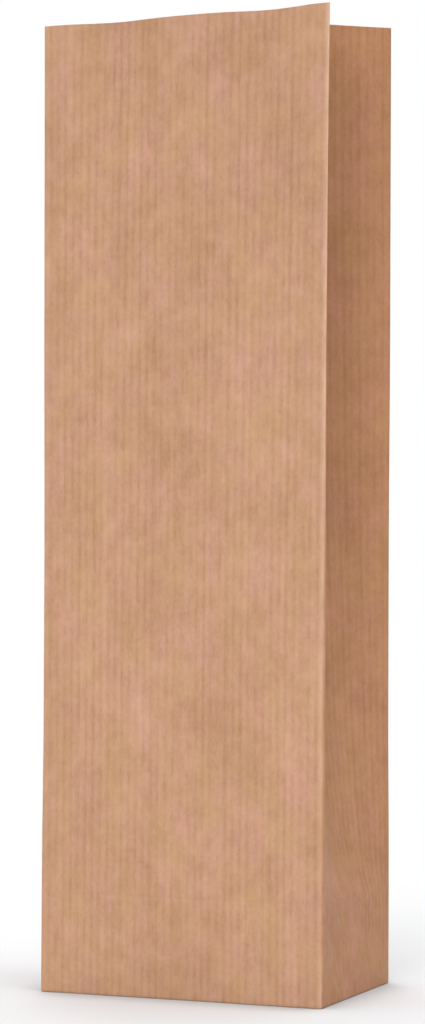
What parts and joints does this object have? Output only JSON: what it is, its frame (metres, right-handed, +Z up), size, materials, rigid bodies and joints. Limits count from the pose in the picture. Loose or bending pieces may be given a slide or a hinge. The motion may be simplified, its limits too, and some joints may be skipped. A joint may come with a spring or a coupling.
{
  "type": "wine gift bag",
  "caption": "Tall block-bottom kraft paper gift bag for one wine bottle, open at the top, with pleated side gussets that fold it flat.",
  "frame": {"origin": "on the floor, at the middle of the base", "axes": "+Z up to the mouth, front panel towards -Y, gussets towards +X and -X"},
  "size_m": [0.12, 0.08, 0.387],
  "materials": {
    "kraft_panel": "matte ribbed kraft paper",
    "kraft_gusset": "matte ribbed kraft paper",
    "kraft_base": "matte ribbed kraft paper",
    "dried_glue": "dried water-based glue"
  },
  "bodies": {
    "front_wall": {"front_panel": "kraft_panel"},
    "right_gusset_front": {"gusset_right_front": "kraft_gusset"},
    "right_gusset_rear": {"gusset_right_rear": "kraft_gusset"},
    "back_wall": {"back_panel_right": "kraft_panel", "back_panel_left": "kraft_panel", "seam_glue": "dried_glue"},
    "left_gusset_front": {"gusset_left_front": "kraft_gusset"},
    "left_gusset_rear": {"gusset_left_rear": "kraft_gusset"},
    "foot": {"front_foot": "kraft_panel", "corner_fold_right": "kraft_gusset", "corner_fold_left": "kraft_gusset"},
    "base": {"bottom_flap_front": "kraft_base", "bottom_flap_rear": "kraft_base", "bottom_tuck_right": "kraft_base", "bottom_tuck_left": "kraft_base", "bottom_glue": "dried_glue", "tuck_glue_right": "dried_glue", "tuck_glue_left": "dried_glue"},
    "right_foot": {"gusset_foot_right": "kraft_gusset"},
    "left_foot": {"gusset_foot_left": "kraft_gusset"}
  },
  "joints": [
    {"name": "fold_flat", "type": "hinge", "parent": "front_wall", "child": "right_gusset_front", "pos_m": [0.0597, -0.0397, 0.2], "axis": [0, 0, 1], "range_deg": [0, 89]},
    {"name": "right_centre_crease", "type": "hinge", "parent": "right_gusset_front", "child": "right_gusset_rear", "pos_m": [0.06, 0, 0.2], "axis": [0, 0, -1], "range_deg": [0, 178]},
    {"name": "right_back_corner", "type": "hinge", "parent": "right_gusset_rear", "child": "back_wall", "pos_m": [0.0597, 0.0397, 0.2], "axis": [0, 0, 1], "range_deg": [0, 89]},
    {"name": "left_front_corner", "type": "hinge", "parent": "front_wall", "child": "left_gusset_front", "pos_m": [-0.0597, -0.0397, 0.2], "axis": [0, 0, -1], "range_deg": [0, 89]},
    {"name": "left_centre_crease", "type": "hinge", "parent": "left_gusset_front", "child": "left_gusset_rear", "pos_m": [-0.06, 0, 0.2], "axis": [0, 0, 1], "range_deg": [0, 178]},
    {"name": "foot_crease", "type": "hinge", "parent": "front_wall", "child": "foot", "pos_m": [0, -0.04, 0.04], "axis": [-1, 0, 0], "range_deg": [0, 178], "deforming": ["corner_fold_right", "corner_fold_left"]},
    {"name": "base_edge", "type": "hinge", "parent": "foot", "child": "base", "pos_m": [0, -0.0397, 0.00102], "axis": [1, 0, 0], "range_deg": [0, 85]},
    {"name": "right_base_edge", "type": "hinge", "parent": "base", "child": "right_foot", "pos_m": [0.0597, 0, 0.00102], "axis": [0, -1, 0], "range_deg": [0, 89]},
    {"name": "left_base_edge", "type": "hinge", "parent": "base", "child": "left_foot", "pos_m": [-0.0597, 0, 0.00102], "axis": [0, 1, 0], "range_deg": [0, 89]}
  ],
  "couplings": [
    {"joint": "right_centre_crease", "follows": "fold_flat", "ratio": 2},
    {"joint": "right_back_corner", "follows": "fold_flat", "ratio": 1},
    {"joint": "left_front_corner", "follows": "fold_flat", "ratio": 1},
    {"joint": "left_centre_crease", "follows": "fold_flat", "ratio": 2},
    {"joint": "foot_crease", "follows": "fold_flat", "ratio": 2},
    {"joint": "base_edge", "follows": "fold_flat", "ratio": 0.95505},
    {"joint": "right_base_edge", "follows": "fold_flat", "ratio": 1},
    {"joint": "left_base_edge", "follows": "fold_flat", "ratio": 1}
  ]
}
